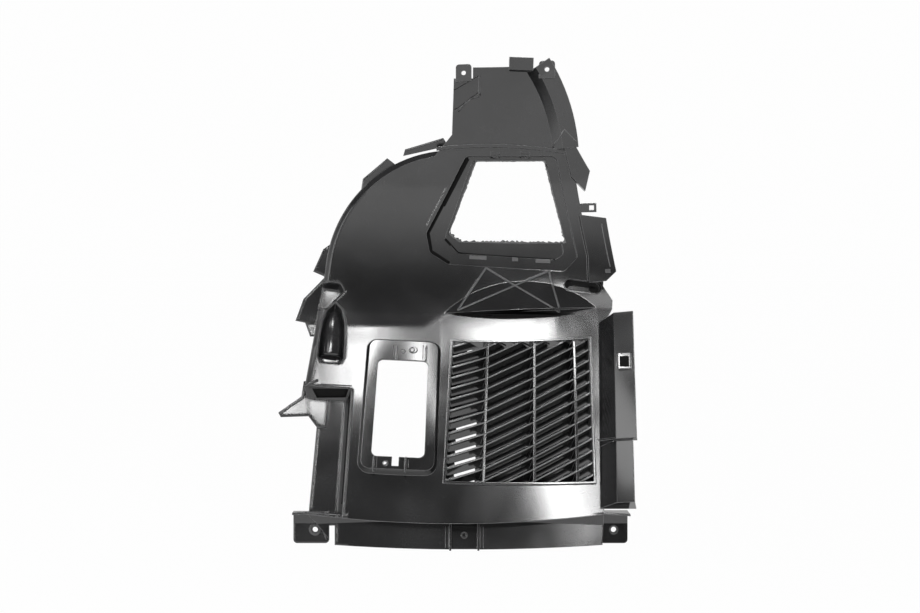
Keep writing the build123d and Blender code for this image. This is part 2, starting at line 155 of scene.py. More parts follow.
def edgeGroup():  # rounded normals, wider on the rolled left side, and a mask of the edges
    look = edgeLook
    tree, start, end = newGroup(
        "softEdges",
        [
            ("Radius", "NodeSocketFloat", look["radius"]),
            ("RolledRadius", "NodeSocketFloat", look["rolledRadius"]),
            ("RolledFrom", "NodeSocketFloat", look["rolledFrom"]),
            ("ArchTilt", "NodeSocketFloat", look["archTilt"]),
            ("ArchFoot", "NodeSocketFloat", look["archFoot"]),
            ("ArchStep", "NodeSocketFloat", look["archStep"]),
            ("FlangeLean", "NodeSocketFloat", look["flangeLean"]),
            ("FlangeTop", "NodeSocketFloat", look["flangeTop"]),
        ],
        [("Normal", "NodeSocketVector"), ("Edge", "NodeSocketFloat")],
    )
    link = tree.links.new
    coord = addNode(tree, "ShaderNodeTexCoord", (-1300, -300))
    axes = addNode(tree, "ShaderNodeSeparateXYZ", (-1100, -300))
    link(coord.outputs["Object"], axes.inputs[0])
    x, z = axes.outputs["X"], axes.outputs["Z"]
    width = addNode(tree, "ShaderNodeMix", (-500, 200), data_type="FLOAT")
    bevel = addNode(tree, "ShaderNodeBevel", (100, 200), samples=look["samples"])
    link(mathNode(tree, "LESS_THAN", (-900, 200), x, start.outputs["RolledFrom"]), width.inputs[0])
    link(start.outputs["Radius"], width.inputs[2])
    link(start.outputs["RolledRadius"], width.inputs[3])
    link(width.outputs[0], bevel.inputs["Radius"])
    # The arch's shading is turned down a little from its foot, which is higher over the grille.
    # The lower flange is shaded as if it leaned like the wall.
    right = ramp(tree, (-700, 600), x, *look["archStepSpan"])
    step = mathNode(tree, "MULTIPLY", (-500, 600), right, start.outputs["ArchStep"])
    foot = mathNode(tree, "ADD", (-300, 600), step, start.outputs["ArchFoot"])
    rise = mathNode(tree, "SUBTRACT", (-100, 600), z, foot)
    above = ramp(tree, (100, 600), rise, 0.0, look["archBlend"])
    arch = mathNode(tree, "MULTIPLY", (300, 600), above, start.outputs["ArchTilt"])
    low = mathNode(tree, "LESS_THAN", (100, 800), z, start.outputs["FlangeTop"])
    flange = mathNode(tree, "MULTIPLY", (300, 800), low, start.outputs["FlangeLean"])
    tilt = addNode(tree, "ShaderNodeCombineXYZ", (700, 600))
    turned = addNode(tree, "ShaderNodeVectorMath", (900, 400), operation="ADD")
    unit = addNode(tree, "ShaderNodeVectorMath", (1100, 400), operation="NORMALIZE")
    link(mathNode(tree, "ADD", (500, 600), arch, flange), tilt.inputs["Z"])
    link(bevel.outputs[0], turned.inputs[0])
    link(tilt.outputs[0], turned.inputs[1])
    link(turned.outputs[0], unit.inputs[0])
    link(unit.outputs[0], end.inputs["Normal"])
    # An edge is where the rounded normal leaves the face's own; this mask paints a pale highlight along the
    # edges.
    fine = addNode(tree, "ShaderNodeBevel", (100, -200), samples=look["maskSamples"])
    geometry = addNode(tree, "ShaderNodeNewGeometry", (100, -450))
    turn = addNode(tree, "ShaderNodeVectorMath", (300, -250), operation="DOT_PRODUCT")
    link(start.outputs["Radius"], fine.inputs["Radius"])
    link(fine.outputs[0], turn.inputs[0])
    link(geometry.outputs["Normal"], turn.inputs[1])
    link(ramp(tree, (500, -250), turn.outputs["Value"], *look["edgeRange"]), end.inputs["Edge"])
    return tree


scuffLook = {  # reach in m, and the shares of it where scuffs start and are full
    "reach": 0.0020,
    "fade": (1.0, 0.4),
    "noise": {"Scale": 760.0, "Detail": 4.0, "Roughness": 0.8},
    "noiseRange": (0.53, 0.60),
    "frontView": (1, 0, 1),
}


def scuffGroup():  # pale scratches near a line between two points of the front view
    look = scuffLook
    tree, start, end = newGroup(
        "paleScuffs",
        [
            ("From", "NodeSocketVector", (0, 0, 0)),
            ("To", "NodeSocketVector", (0, 0, 0)),
            ("Reach", "NodeSocketFloat", look["reach"]),
        ],
        [("Scuff", "NodeSocketFloat")],
    )
    coord = addNode(tree, "ShaderNodeTexCoord", (-1300, -300))
    flat = addNode(tree, "ShaderNodeVectorMath", (-1100, -300), operation="MULTIPLY")
    flat.inputs[1].default_value = look["frontView"]
    away = addNode(tree, "ShaderNodeVectorMath", (-900, -300), operation="SUBTRACT")
    run = addNode(tree, "ShaderNodeVectorMath", (-900, 0), operation="SUBTRACT")
    along = addNode(tree, "ShaderNodeVectorMath", (-700, -300), operation="DOT_PRODUCT")
    length = addNode(tree, "ShaderNodeVectorMath", (-700, 0), operation="DOT_PRODUCT")
    share = addNode(tree, "ShaderNodeMath", (-500, -200), operation="DIVIDE", use_clamp=True)
    foot = addNode(tree, "ShaderNodeVectorMath", (-300, -200), operation="SCALE")
    gap = addNode(tree, "ShaderNodeVectorMath", (-100, -200), operation="DISTANCE")
    geometry = addNode(tree, "ShaderNodeNewGeometry", (-100, -700))
    facing = addNode(tree, "ShaderNodeSeparateXYZ", (100, -700))
    link = tree.links.new
    link(coord.outputs["Object"], flat.inputs[0])
    link(flat.outputs[0], away.inputs[0])
    link(start.outputs["From"], away.inputs[1])
    link(start.outputs["To"], run.inputs[0])
    link(start.outputs["From"], run.inputs[1])
    link(away.outputs[0], along.inputs[0])
    link(run.outputs[0], along.inputs[1])
    link(run.outputs[0], length.inputs[0])
    link(run.outputs[0], length.inputs[1])
    link(along.outputs["Value"], share.inputs[0])
    link(length.outputs["Value"], share.inputs[1])
    link(run.outputs[0], foot.inputs[0])
    link(share.outputs[0], foot.inputs["Scale"])
    link(away.outputs[0], gap.inputs[0])
    link(foot.outputs[0], gap.inputs[1])
    link(geometry.outputs["Normal"], facing.inputs[0])
    near = mathNode(tree, "DIVIDE", (100, -200), gap.outputs["Value"], start.outputs["Reach"])
    spots = noise(tree, (-300, -500), coord.outputs["Object"], **look["noise"])
    broken = ramp(tree, (100, -500), spots, *look["noiseRange"])
    close = mathNode(tree, "MULTIPLY", (500, -300), ramp(tree, (300, -200), near, *look["fade"]), broken)
    front = mathNode(tree, "LESS_THAN", (300, -700), facing.outputs["Y"], 0.0)  # the wheel side only
    link(mathNode(tree, "MULTIPLY", (700, -300), close, front), end.inputs["Scuff"])
    return tree


effects = {"mottle": mottleGroup(), "edges": edgeGroup(), "scuffs": scuffGroup()}

linerLook = {
    "base": (0.011, 0.011, 0.0115, 1.0),
    "cloudy": (0.025, 0.025, 0.026, 1.0),
    "dusty": (0.050, 0.050, 0.051, 1.0),
    # painted highlight: pale colour along the edges, where small rounded edges would catch the lamps
    "edgeHighlight": (0.30, 0.30, 0.305, 1.0),
    "scuff": (0.75, 0.75, 0.75, 1.0),
    "scuffLine": [(-0.0278, 0.0, 0.470), (-0.0572, 0.0, 0.412)],
    "roughness": (0.09, 0.13),
    "specular": 0.95,
    "grainDepth": 0.0000012,
    "grainStrength": 0.5,
}
lipHighlightLook = dict(  # painted highlight: pale front edges of the blades
    linerLook,
    base=(0.26, 0.26, 0.262, 1.0),
    cloudy=(0.32, 0.32, 0.322, 1.0),
    dusty=(0.40, 0.40, 0.402, 1.0),
)
stepShadeLook = dict(  # painted shade: near-black matte plastic standing in for the shade of a step
    linerLook,
    base=(0.003, 0.003, 0.003, 1.0),
    cloudy=(0.004, 0.004, 0.004, 1.0),
    dusty=(0.008, 0.008, 0.008, 1.0),
    edgeHighlight=(0.02, 0.02, 0.02, 1.0),
    roughness=(0.5, 0.6),
    specular=0.15,
)
ribHighlightLook = dict(  # painted highlight: ribs, rims and folds made pale where their edges would catch the light
    linerLook,
    base=(0.13, 0.13, 0.132, 1.0),
    cloudy=(0.17, 0.17, 0.172, 1.0),
    dusty=(0.24, 0.24, 0.242, 1.0),
)


def mouldedPlastic(name, look):
    mat = bpy.data.materials.new(name)
    mat.use_nodes = True
    tree = mat.node_tree
    shader = tree.nodes["Principled BSDF"]
    setInputs(shader, Specular_IOR_Level=look["specular"])
    mottle = addNode(tree, "ShaderNodeGroup", (-1100, 200), node_tree=effects["mottle"])
    edges = addNode(tree, "ShaderNodeGroup", (-1100, -200), node_tree=effects["edges"])
    scuffs = addNode(tree, "ShaderNodeGroup", (-1100, 500), node_tree=effects["scuffs"])
    setInputs(scuffs, From=look["scuffLine"][0], To=look["scuffLine"][1])
    layers = [  # over the base colour
        (mottle.outputs["Cloud"], "cloudy"),
        (mottle.outputs["Dust"], "dusty"),
        # painted highlight along the edges
        (edges.outputs["Edge"], "edgeHighlight"),
        (scuffs.outputs["Scuff"], "scuff"),
    ]
    link = tree.links.new
    colour = None
    for step, (mask, tone) in enumerate(layers):
        mix = addNode(tree, "ShaderNodeMix", (-700 + 200 * step, 400), data_type="RGBA")
        mix.inputs[6].default_value = look["base"]  # sockets 6 and 7 are the two colours
        mix.inputs[7].default_value = look[tone]
        link(mask, mix.inputs[0])
        if colour:
            link(colour, mix.inputs[6])
        colour = mix.outputs[2]
    rough = addNode(tree, "ShaderNodeMapRange", (-500, 0))
    setInputs(rough, To_Min=look["roughness"][0], To_Max=look["roughness"][1])
    bump = addNode(tree, "ShaderNodeBump", (-400, -250))
    setInputs(bump, Strength=look["grainStrength"], Distance=look["grainDepth"])
    link(colour, shader.inputs["Base Color"])
    link(mottle.outputs["Cloud"], rough.inputs["Value"])
    link(rough.outputs[0], shader.inputs["Roughness"])
    link(mottle.outputs["Grain"], bump.inputs["Height"])
    link(edges.outputs["Normal"], bump.inputs["Normal"])
    link(bump.outputs[0], shader.inputs["Normal"])
    return mat


plastic = mouldedPlastic("satinBlackMoulding", linerLook)
# painted highlight: pale plastic for the ribs, rims, folds, clips and flash, standing in for their
# highlights
ribHighlightPlastic = mouldedPlastic("paleRibHighlightMoulding", ribHighlightLook)
# painted shade: near-black plastic for the shaded steps
stepShadePlastic = mouldedPlastic("shadedStepMoulding", stepShadeLook)
lipHighlightPlastic = mouldedPlastic("paleLipHighlightMoulding", lipHighlightLook)
liner.data.materials.clear()
liner.data.materials.append(plastic)
print("materials made")


# Small shapes laid on the moulding. Lengths in all settings from here to the stage are in mm,
# and points are X and Z of the front view.
surface = BVHTree.FromPolygons(
    [v.co for v in liner.data.vertices],
    [p.vertices[:] for p in liner.data.polygons],
)
laid = {
    "sunk": 0.3,
    "beadSides": 6,
    "beadStep": 4.0,
    "plateStep": 3.0,
    "rayGap": 100.0,
    "ringSegments": 28,
    "ringShoulders": (0.7, 0.6),  # inner and outer, as shares of the ring's height
}


def onFace(x, z):  # the visible face met along the draw direction, and its normal towards the wheel
    start = Vector((x * mm, cadBox[0].y - laid["rayGap"] * mm, z * mm))
    spot, normal = surface.ray_cast(start, Vector((0, 1, 0)))[:2]
    if spot is None:
        return None
    return (spot, normal) if normal.y < 0 else (spot, -normal)


def walk(line, step):  # points at even steps along a line of corners
    spots = [line[0]]
    for start, end in zip(line, line[1:]):
        count = max(1, round(math.dist(start, end) / step))
        for i in range(1, count + 1):
            spots.append(tuple(a + (b - a) * i / count for a, b in zip(start, end)))
    return spots


def ringFaces(rows, around, closed):  # quads between rows of points, with ends where the run is open
    faces = []
    for i in range(rows if closed else rows - 1):
        for k in range(around):
            a, b = i * around + k, i * around + (k + 1) % around
            c, d = (b + around) % (rows * around), (a + around) % (rows * around)
            faces.append((a, b, c, d))
    if not closed:
        faces.append(tuple(range(around)))
        faces.append(tuple(range((rows - 1) * around, rows * around)))
    return faces


def bead(line, width, height):  # half-round line that follows the face
    sides = laid["beadSides"]
    rows = [row for row in (onFace(x, z) for x, z in walk(line, laid["beadStep"])) if row]
    verts = []
    for i, (spot, normal) in enumerate(rows):
        ahead = rows[min(i + 1, len(rows) - 1)][0] - rows[max(i - 1, 0)][0]
        side = normal.cross(ahead).normalized()
        for k in range(sides + 1):
            turn = math.pi * k / sides
            across = side * (math.cos(turn) * width * mm / 2)
            verts.append(spot + across + normal * ((math.sin(turn) * height - laid["sunk"]) * mm))
    return verts, ringFaces(len(rows), sides + 1, False)


def plate(corners, thick):  # small raised plate that follows the face
    spots = walk(corners + corners[:1], laid["plateStep"])[:-1]
    rows = [row for row in (onFace(*spot) for spot in spots) if row]
    low = [spot - normal * laid["sunk"] * mm for spot, normal in rows]
    top = [spot + normal * thick * mm for spot, normal in rows]
    count = len(rows)
    sides = [(i, (i + 1) % count, (i + 1) % count + count, i + count) for i in range(count)]
    return low + top, sides + [tuple(range(count)), tuple(range(count, 2 * count))]


def patch(x, z, width, height, thick, turn=0.0):  # rectangular plate
    u, v = width / 2, height / 2
    c, s = math.cos(math.radians(turn)), math.sin(math.radians(turn))
    corners = [(-u, -v), (u, -v), (u, v), (-u, v)]
    return plate([(x + c * a - s * b, z + s * a + c * b) for a, b in corners], thick)


def collar(x, z, outer, inner, height):  # raised ring, set on the face beside its hole
    spot, normal = onFace(x + outer, z)
    centre = Vector((x * mm, spot.y, z * mm))
    facing = normal.to_track_quat("Z", "Y")
    third = (outer - inner) / 3
    innerRise, outerRise = (share * height for share in laid["ringShoulders"])
    section = [  # reach from the centre and rise from the face
        (inner, -laid["sunk"]),
        (inner, innerRise),
        (inner + third, height),
        (outer - third, height),
        (outer, outerRise),
        (outer, -laid["sunk"]),
    ]
    verts = []
    for i in range(laid["ringSegments"]):
        turn = 2 * math.pi * i / laid["ringSegments"]
        for reach, rise in section:
            point = Vector((math.cos(turn) * reach, math.sin(turn) * reach, rise))
            verts.append(centre + facing @ point * mm)
    return verts, ringFaces(laid["ringSegments"], len(section), True)


def addPiece(name, shapes, material):
    verts, faces = [], []
    for points, sides in shapes:
        faces += [tuple(i + len(verts) for i in side) for side in sides]
        verts += points
    mesh = bpy.data.meshes.new(name)
    mesh.from_pydata(verts, [], faces)
    solid = bmesh.new()
    solid.from_mesh(mesh)
    bmesh.ops.recalc_face_normals(solid, faces=solid.faces)
    for face in solid.faces:
        face.smooth = len(face.verts) == 4
    solid.to_mesh(mesh)
    solid.free()
    mesh.materials.append(material)
    piece = bpy.data.objects.new(name, mesh)
    scene.collection.objects.link(piece)
    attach(piece, "root")
    print("added", name, len(mesh.polygons), "faces")


wall = {  # the straight wall, as in the CAD
    "radius": 900.0,
    "lean": 32.0,
    "deepX": -25.0,
    "footY": 8.0,
    "footZ": 10.0,
}


def onWall(x, s):  # frame of the wall's face at X and height s up the wall, with W towards the wheel
    r = wall["radius"]
    turn = math.asin((x - wall["deepX"]) / r)
    c, d = math.cos(turn), math.sin(turn)
    local = Matrix(((c, 0, -d, r * d), (-d, 0, -c, r * c), (0, 1, 0, s), (0, 0, 0, 1)))
    foot = Matrix.Translation((wall["deepX"], wall["footY"], wall["footZ"]))
    lean = Matrix.Rotation(-math.radians(wall["lean"]), 4, "X")
    return foot @ lean @ Matrix.Translation((0, -r, 0)) @ local


crossRibs = {
    "top": [(34, 346), (128, 341)],
    "foot": [(-9, 282), (140, 279)],
    "width": 1.7,
    "height": 0.7,
}


def addCrossRibs():
    look = crossRibs
    (topLeft, topRight), (footLeft, footRight) = look["top"], look["foot"]
    lines = [(topLeft, footRight), (topRight, footLeft), (topLeft, footLeft), (topRight, footRight)]
    addPiece("crossRibs", [bead(line, look["width"], look["height"]) for line in lines], ribHighlightPlastic)


frameMarks = {
    "topRibs": [-100.6, -95.2, -58.6, -53.4],
    "topSpan": (231.0, 211.0),
    "lowRibs": [-121.6, -116.4, -79.6, -74.4],
    "lowSpan": (87.0, 70.0),
    "ribWidth": 1.3,
    "ribHeight": 0.6,
    "rings": [(-74.4, 224.7, 4.4, 2.6), (-87.0, 222.8, 3.6, 2.2), (-104.8, 78.6, 4.2, 2.7)],
    "ringHeight": 0.7,
}


def addFrameMarks():  # fine ribs and rings on the rectangular frame
    look = frameMarks
    lines = [[(x, z) for z in look["topSpan"]] for x in look["topRibs"]]
    lines += [[(x, z) for z in look["lowSpan"]] for x in look["lowRibs"]]
    shapes = [bead(line, look["ribWidth"], look["ribHeight"]) for line in lines]
    shapes += [collar(x, z, outer, inner, look["ringHeight"]) for x, z, outer, inner in look["rings"]]
    addPiece("frameMarks", shapes, ribHighlightPlastic)


windowStepShade = {  # painted shade: dark beads at the feet of the two steps around the upper window, with their widths
    "left": [(4.5, 518), (-55.5, 400.7), (-50.5, 371.5), (-22.5, 353.0)],
    "leftWidth": 7.0,
    "top": [(5.0, 517.5), (-33.0, 444.0)],
    "topWidth": 10.0,
    "low": [(-28.5, 391), (-8.5, 369), (20, 366.5), (138, 357.8)],
    "lowWidth": 4.2,
    "height": 0.8,
}


def addWindowStepShade():
    look = windowStepShade
    shapes = [bead(look[line], look[line + "Width"], look["height"]) for line in ("left", "top", "low")]
    addPiece("windowStepShade", shapes, stepShadePlastic)


windowClips = {  # X, Z, width, height, thickness
    "low": [(22.0, 361.6, 26, 5.5, 1.4), (78.5, 358.6, 9, 5.5, 1.4), (120.5, 355.6, 22, 5.5, 1.4)],
    "top": [(48.5, 521.0, 14, 9, 0.8), (94.5, 520.6, 15, 9, 0.8)],
    "turn": -3.0,
}


def addWindowClips():
    # The lower clips are pale as a painted highlight; the upper ones are plain plastic.
    for side, material in (("low", ribHighlightPlastic), ("top", plastic)):
        shapes = [patch(*spot, turn=windowClips["turn"]) for spot in windowClips[side]]
        addPiece(side + "WindowClips", shapes, material)


shadedSteps = {  # painted shade: dark plates and a bead on the steps of the left panel, the hollow under the brow and the pocket on the right flange
    "panelTop": [(-211, 173), (-161, 172), (-165.5, 160), (-205, 160)],
    "panelSide": [(-159.2, 158), (-159.2, 30)],
    "panelWidth": 4.0,
    "brow": [
        (-18, 277.5), (10, 279.3), (60, 279.5), (110, 279.3), (165, 276.5),
        (130, 271.5), (75, 269), (20, 270.5),
    ],
    "pocket": [(211.5, 219.5), (223.5, 220), (222.5, 206), (210.5, 206)],
    "pocketRim": [(227.5, 222.6), (208.8, 221.8), (207.4, 203.6), (225.8, 203.6)],
    "rimWidth": 1.3,
    "height": 0.5,
}


def addShadedSteps():
    look = shadedSteps
    shapes = [plate(look[part], look["height"]) for part in ("panelTop", "brow", "pocket")]
    shapes.append(bead(look["panelSide"], look["panelWidth"], look["height"]))
    addPiece("shadedSteps", shapes, stepShadePlastic)
    # painted highlight: a pale rim around the pocket
    addPiece("pocketRim", [bead(look["pocketRim"], look["rimWidth"], look["height"])], ribHighlightPlastic)


windowFlash = {  # thin ragged plastic left along the sawn edge of the upper opening
    "outline": [(19, 513), (-23, 400), (-5, 387), (155, 384), (125, 512)],
    "middle": (66, 450),
    "step": 2.6,
    "grip": 2.0,
    "reach": (0.4, 1.6),
    "lowReach": (0.6, 4.2),
    "lowBelow": 404,
    "thick": 0.9,
    "seed": 11,
}


def addWindowFlash():
    look = windowFlash
    dice = random.Random(look["seed"])
    outline = look["outline"]
    verts, rows = [], 0
    for x, z in walk(outline + outline[:1], look["step"])[:-1]:
        away = Vector((x - look["middle"][0], 0, z - look["middle"][1])).normalized()
        hit = onFace(x + away.x * look["grip"], z + away.z * look["grip"])
        if not hit:
            continue
        spot, normal = hit
        inward = (-away + normal * normal.dot(away)).normalized()
        reach = dice.uniform(*(look["lowReach"] if z < look["lowBelow"] else look["reach"]))
        tip = spot + inward * ((look["grip"] + reach) * mm)
        lift = normal * (look["thick"] * mm / 2)
        verts += [spot + lift, tip + lift / 2, tip - lift / 2, spot - lift]
        rows += 1
    # painted highlight: the flash is made pale
    addPiece("windowFlash", [(verts, ringFaces(rows, 4, True))], ribHighlightPlastic)


tongueCrease = {
    "lines": [[(25, 636), (25, 609)], [(-8, 586), (4, 600), (14, 605.5), (24, 607)]],
    "width": 2.4,
    "height": 0.7,
}


def addTongueCrease():
    look = tongueCrease
    addPiece("tongueCrease", [bead(line, look["width"], look["height"]) for line in look["lines"]], plastic)


bulletRim = {  # place on the wall, and the right half of the rim from its tip down
    "at": (-189, 276),
    "half": [(0, 50), (11.5, 38.5), (18, 15.5), (20, -18), (20, -44), (14.5, -54)],
    "width": 2.2,
    "height": 1.0,
}


def addBulletRim():
    half = bulletRim["half"]
    frameAt = onWall(*bulletRim["at"])
    corners = [frameAt @ Vector((u, v, 0)) for u, v in half[::-1] + [(-u, v) for u, v in half[1:]]]
    line = [(corner.x, corner.z) for corner in corners]
    addPiece("bulletRim", [bead(line, bulletRim["width"], bulletRim["height"])], ribHighlightPlastic)


bulletBulge = {
    "low": -38,
    "high": 45,
    "inset": 5.0,
    "depth": 12.0,
    "crown": 8.5,
    "footSwell": 0.12,
    "swellPower": 0.5,
    "rows": 18,
    "around": 14,
}


def addBulletBulge():  # rounded bulge in the floor of the bullet pocket
    look, at = bulletBulge, onWall(*bulletRim["at"])
    half = bulletRim["half"]
    verts = []
    for i in range(look["rows"] + 1):
        v = look["low"] + (look["high"] - look["low"]) * i / look["rows"]
        above = next(k for k in range(1, len(half)) if half[k][1] <= v)
        (u1, v1), (u2, v2) = half[above - 1], half[above]
        edge = u1 + (u2 - u1) * (v - v1) / (v2 - v1) - look["inset"]
        swell = 0.0
        if i < look["rows"]:  # full a little above the foot, gone at the tip
            share = look["footSwell"] + (1 - look["footSwell"]) * i / look["rows"]
            swell = math.sin(math.pi * share ** look["swellPower"]) ** look["swellPower"]
        for k in range(look["around"] + 1):
            turn = math.pi * k / look["around"]
            w = look["crown"] * swell * math.sin(turn) - look["depth"] - laid["sunk"]
            verts.append(at @ Vector((edge * math.cos(turn), v, w)) * mm)
    addPiece("bulletBulge", [(verts, ringFaces(look["rows"] + 1, look["around"] + 1, False))], plastic)


leftFolds = {
    "hook": [(-203.5, 184.5), (-222, 176.5), (-224, 160), (-239, 150.5), (-251, 140.5)],
    "hookWidth": 4.5,
    "hookHeight": 2.0,
    "panel": [[(-200, 179), (-157, 176)], [(-154.5, 172), (-154.5, 26)]],
    "tabs": [
        [(-90, 532.5), (-34, 549.5)],
        [(-157, 485), (-121.5, 516.5)],
        [(-214.5, 373), (-227, 341.5)],
        [(-238, 297), (-246, 267)],
    ],
    "width": 2.2,
    "height": 0.9,
}


def addLeftFolds():
    look = leftFolds
    shapes = [bead(look["hook"], look["hookWidth"], look["hookHeight"])]
    shapes += [bead(line, look["width"], look["height"]) for line in look["panel"] + look["tabs"]]
    addPiece("leftFolds", shapes, ribHighlightPlastic)


fixingRings = {  # X, Z, outer and inner radius
    "rings": [(-192, 0, 8.0, 4.6), (192, 0, 6.2, 4.2), (0, -11.4, 4.8, 3.1)],
    "height": 0.8,
    "lineX": (-24.5, -20.6, 20.6, 24.5),
    "lineSpan": (1.0, -26.5),
    "lineWidth": 1.3,
    "lineHeight": 0.6,
}


def addFixingRings():
    look = fixingRings
    shapes = [collar(x, z, outer, inner, look["height"]) for x, z, outer, inner in look["rings"]]
    for x in look["lineX"]:
        shapes.append(bead([(x, z) for z in look["lineSpan"]], look["lineWidth"], look["lineHeight"]))
    addPiece("fixingRings", shapes, ribHighlightPlastic)


earMarks = {
    "mouth": (176, 317),
    "mouthSize": (55, 20),
    "mouthTurn": -8,
    "mouthSteps": 12,
    "fold": [(205, 411), (214, 345)],
    "clip": (210.5, 338.0, 7, 5, 2.4),
    "gusset": [[(152, 555), (140.5, 536)], [(152, 555), (171, 536)]],
    "width": 1.8,
    "height": 0.8,
}


def addEarMarks():
    look = earMarks
    r = look["mouthSize"][1] / 2
    half = look["mouthSize"][0] / 2 - r
    c, s = math.cos(math.radians(look["mouthTurn"])), math.sin(math.radians(look["mouthTurn"]))
    lower = []
    for i in range(look["mouthSteps"] + 1):  # lower half of the mouth's rim, from left to right
        turn = math.pi + math.pi * i / look["mouthSteps"]
        u = math.cos(turn) * r + (half if i > look["mouthSteps"] / 2 else -half)
        v = math.sin(turn) * r
        lower.append((look["mouth"][0] + c * u - s * v, look["mouth"][1] + s * u + c * v))
    shapes = [bead(line, look["width"], look["height"]) for line in [lower, look["fold"]] + look["gusset"]]
    addPiece("earMarks", shapes + [patch(*look["clip"])], ribHighlightPlastic)


grille = {  # opening, bars and blades as in the CAD, then the lips and the second row
    "at": (77, 155),
    "turn": -2.5,
    "width": 195.0,
    "height": 213.0,
    "bars": [-47, 20.5, 77],
    "pitch": 17.0,
    "slat": 2.2,
    "riseLeft": 0.37,
    "rise": 0.52,
    "bend": -46.1,
    "rows": 40,
    "steps": 8,
    "edgeGap": 1.5,
    "lipRadius": 1.0,
    "lipFlat": 0.7,
    "lipSunk": 0.5,
    "backFrom": -19.5,
    "backTo": -12.0,
    "backThick": 1.3,
    "backDrop": 0.28,
}


def grilleFrame():
    return onWall(*grille["at"]) @ Matrix.Rotation(math.radians(grille["turn"]), 4, "Z")


def grilleBow(u):  # how far the concave face stands in front of the grille's middle plane
    return wall["radius"] - math.sqrt(wall["radius"] ** 2 - u ** 2)


def slatRuns(shift, first):  # stretches of each blade inside the opening, cut at the bars
    look = grille
    edge, top = look["width"] / 2, look["height"] / 2 - look["edgeGap"]
    lowest = (look["pitch"] - look["height"]) / 2 - look["rise"] * (edge - look["bars"][0]) + shift
    stations = [-edge, *look["bars"], edge][first:]
    runs = []
    for n in range(look["rows"]):
        low = lowest + look["pitch"] * n
        for start, end in zip(stations, stations[1:]):
            spots = []
            for i in range(look["steps"] + 1):
                u = start + (end - start) * i / look["steps"]
                slope = look["riseLeft"] if u < look["bend"] else look["rise"]
                v = low + slope * (u - look["bend"])
                if abs(v + look["slat"] / 2) < top:
                    spots.append((u, v))
            if len(spots) > 1:
                runs.append(spots)
    return runs


def addSlatLips():  # rounded front edge on each blade, pale as a painted highlight
    look, at, sides = grille, grilleFrame(), laid["beadSides"]
    shapes = []
    for run in slatRuns(0.0, 0):
        verts = []
        ends = (grilleBow(run[0][0]), grilleBow(run[-1][0]))
        for u, v in run:
            share = (u - run[0][0]) / (run[-1][0] - run[0][0])
            w = ends[0] + (ends[1] - ends[0]) * share - look["lipSunk"]
            for k in range(sides):
                turn = 2 * math.pi * k / sides
                out = math.cos(turn) * look["lipRadius"] * look["lipFlat"]
                up = math.sin(turn) * look["lipRadius"]
                verts.append(at @ Vector((u, v + look["slat"] / 2 + up, w + out)) * mm)
        shapes.append((verts, ringFaces(len(run), sides, False)))
    addPiece("slatLips", shapes, lipHighlightPlastic)


slatTails = {
    "from": -15.5,
    "to": -21.5,
    "drop": 0.28,
    "openBelow": 12,
    "ends": [(-97.5, -89.0), (-61.0, -47.0)],
    "shortest": 2,
}


def addSlatTails():  # deeper ends on the left blades, which close the gaps except in the lower middle
    look, tail, at = grille, slatTails, grilleFrame()
    shapes = []
    for run in slatRuns(0.0, 0):
        if run[-1][0] > look["bars"][0]:
            continue
        isOpen = run[-1][1] < tail["openBelow"]
        for low, high in tail["ends"] if isOpen else [(run[0][0], run[-1][0])]:
            low, high = max(low, run[0][0]), min(high, run[-1][0])
            if high - low < tail["shortest"]:
                continue
            verts = []
            for u in (low, high):
                v = run[-1][1] + look["riseLeft"] * (u - run[-1][0])
                for w in (tail["from"], tail["to"]):
                    for thick in (0, look["slat"]) if w == tail["from"] else (look["slat"], 0):
                        verts.append(at @ Vector((u, v + tail["drop"] * w + thick, grilleBow(u) + w)) * mm)
            shapes.append((verts, ringFaces(2, 4, False)))
    addPiece("slatTails", shapes, plastic)


def addBackBlades():  # thinner second row of blades behind the gaps of the wider columns
    look, at, thick = grille, grilleFrame(), grille["backThick"]
    shapes = []
    for run in slatRuns(look["pitch"] / 2, 1):
        verts = []
        for u, v in run:
            front, back = grilleBow(u) + look["backTo"], grilleBow(u) + look["backFrom"]
            low = v - look["backDrop"] * (front - back)
            for height, w in ((v, front), (v + thick, front), (low + thick, back), (low, back)):
                verts.append(at @ Vector((u, height, w)) * mm)
        shapes.append((verts, ringFaces(len(run), 4, False)))
    addPiece("backBlades", shapes, plastic)


for add in (
    addCrossRibs,
    addFrameMarks,
    addWindowStepShade,
    addWindowClips,
    addShadedSteps,
    addWindowFlash,
    addTongueCrease,
    addBulletRim,
    addBulletBulge,
    addLeftFolds,
    addFixingRings,
    addEarMarks,
    addSlatLips,
    addSlatTails,
    addBackBlades,
):
    add()


# Floor and backdrop, light and camera, with lengths in m.
stageLook = {
    "half": 7.0,
    "backY": 3.2,
    "backTop": 5.0,
    "cove": 0.8,
    "coveSteps": 10,
    "floorDrop": 0.0005,
    "colour": (0.88, 0.88, 0.88, 1.0),
    "roughness": 0.9,
    "white": 1.0,
    "whiteShare": 0.98,
}


